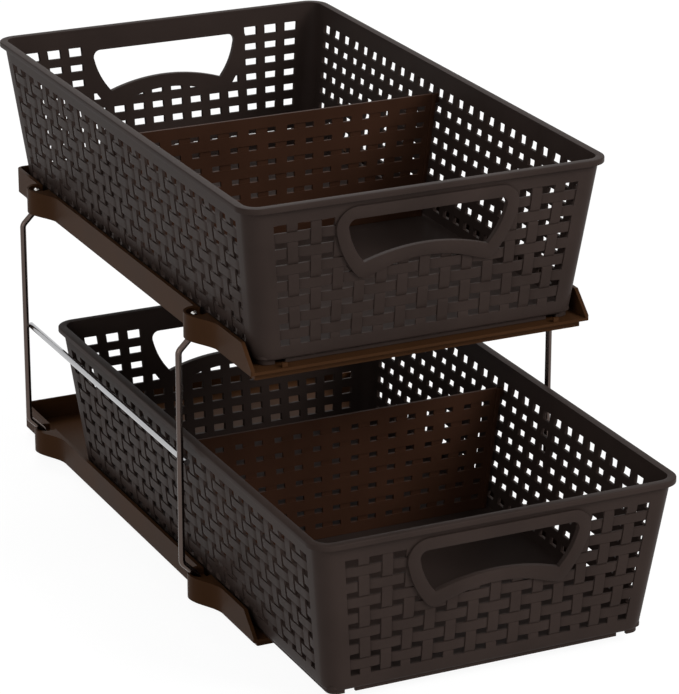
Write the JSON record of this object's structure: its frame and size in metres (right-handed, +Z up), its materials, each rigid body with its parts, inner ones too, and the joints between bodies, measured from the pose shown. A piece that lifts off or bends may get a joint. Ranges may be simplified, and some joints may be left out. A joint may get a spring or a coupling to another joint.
{
  "type": "under sink organizer",
  "caption": "Tiered storage rack: slide trays on bent wire legs carry pull-out baskets with perforated woven-look walls, handle holes and lift-out dividers.",
  "frame": {"origin": "middle of the lower tray's base, on the surface that it stands on", "axes": "X across the width, to the right seen from the front; -Y to the front, where the baskets pull out; Z up"},
  "size_m": [0.269, 0.5322, 0.2928],
  "materials": {
    "basket": "satin",
    "tray": "satin",
    "divider": "satin",
    "leg_wire": "satin bronze",
    "crossbar_wire": "polished"
  },
  "bodies": {
    "frame": {"lower_tray": "tray", "upper_tray": "tray", "left_rear_leg": "leg_wire", "left_front_leg": "leg_wire", "right_rear_leg": "leg_wire", "right_front_leg": "leg_wire", "left_crossbar": "crossbar_wire", "right_crossbar": "crossbar_wire"},
    "upper_drawer": {"upper_basket": "basket"},
    "lower_drawer": {"lower_basket": "basket"},
    "upper_partition": {"upper_divider": "divider"},
    "lower_partition": {"lower_divider": "divider"}
  },
  "joints": [
    {"name": "upper_drawer_slide", "type": "slide", "parent": "frame", "child": "upper_drawer", "axis": [0, -1, 0], "range_m": [0, 0.395]},
    {"name": "lower_drawer_slide", "type": "slide", "parent": "frame", "child": "lower_drawer", "axis": [0, -1, 0], "range_m": [-0.1, 0.295]},
    {"name": "upper_divider_lift", "type": "slide", "parent": "upper_drawer", "child": "upper_partition", "axis": [0, 0, 1], "range_m": [0, 0.12]},
    {"name": "lower_divider_lift", "type": "slide", "parent": "lower_drawer", "child": "lower_partition", "axis": [0, 0, 1], "range_m": [0, 0.075]}
  ]
}
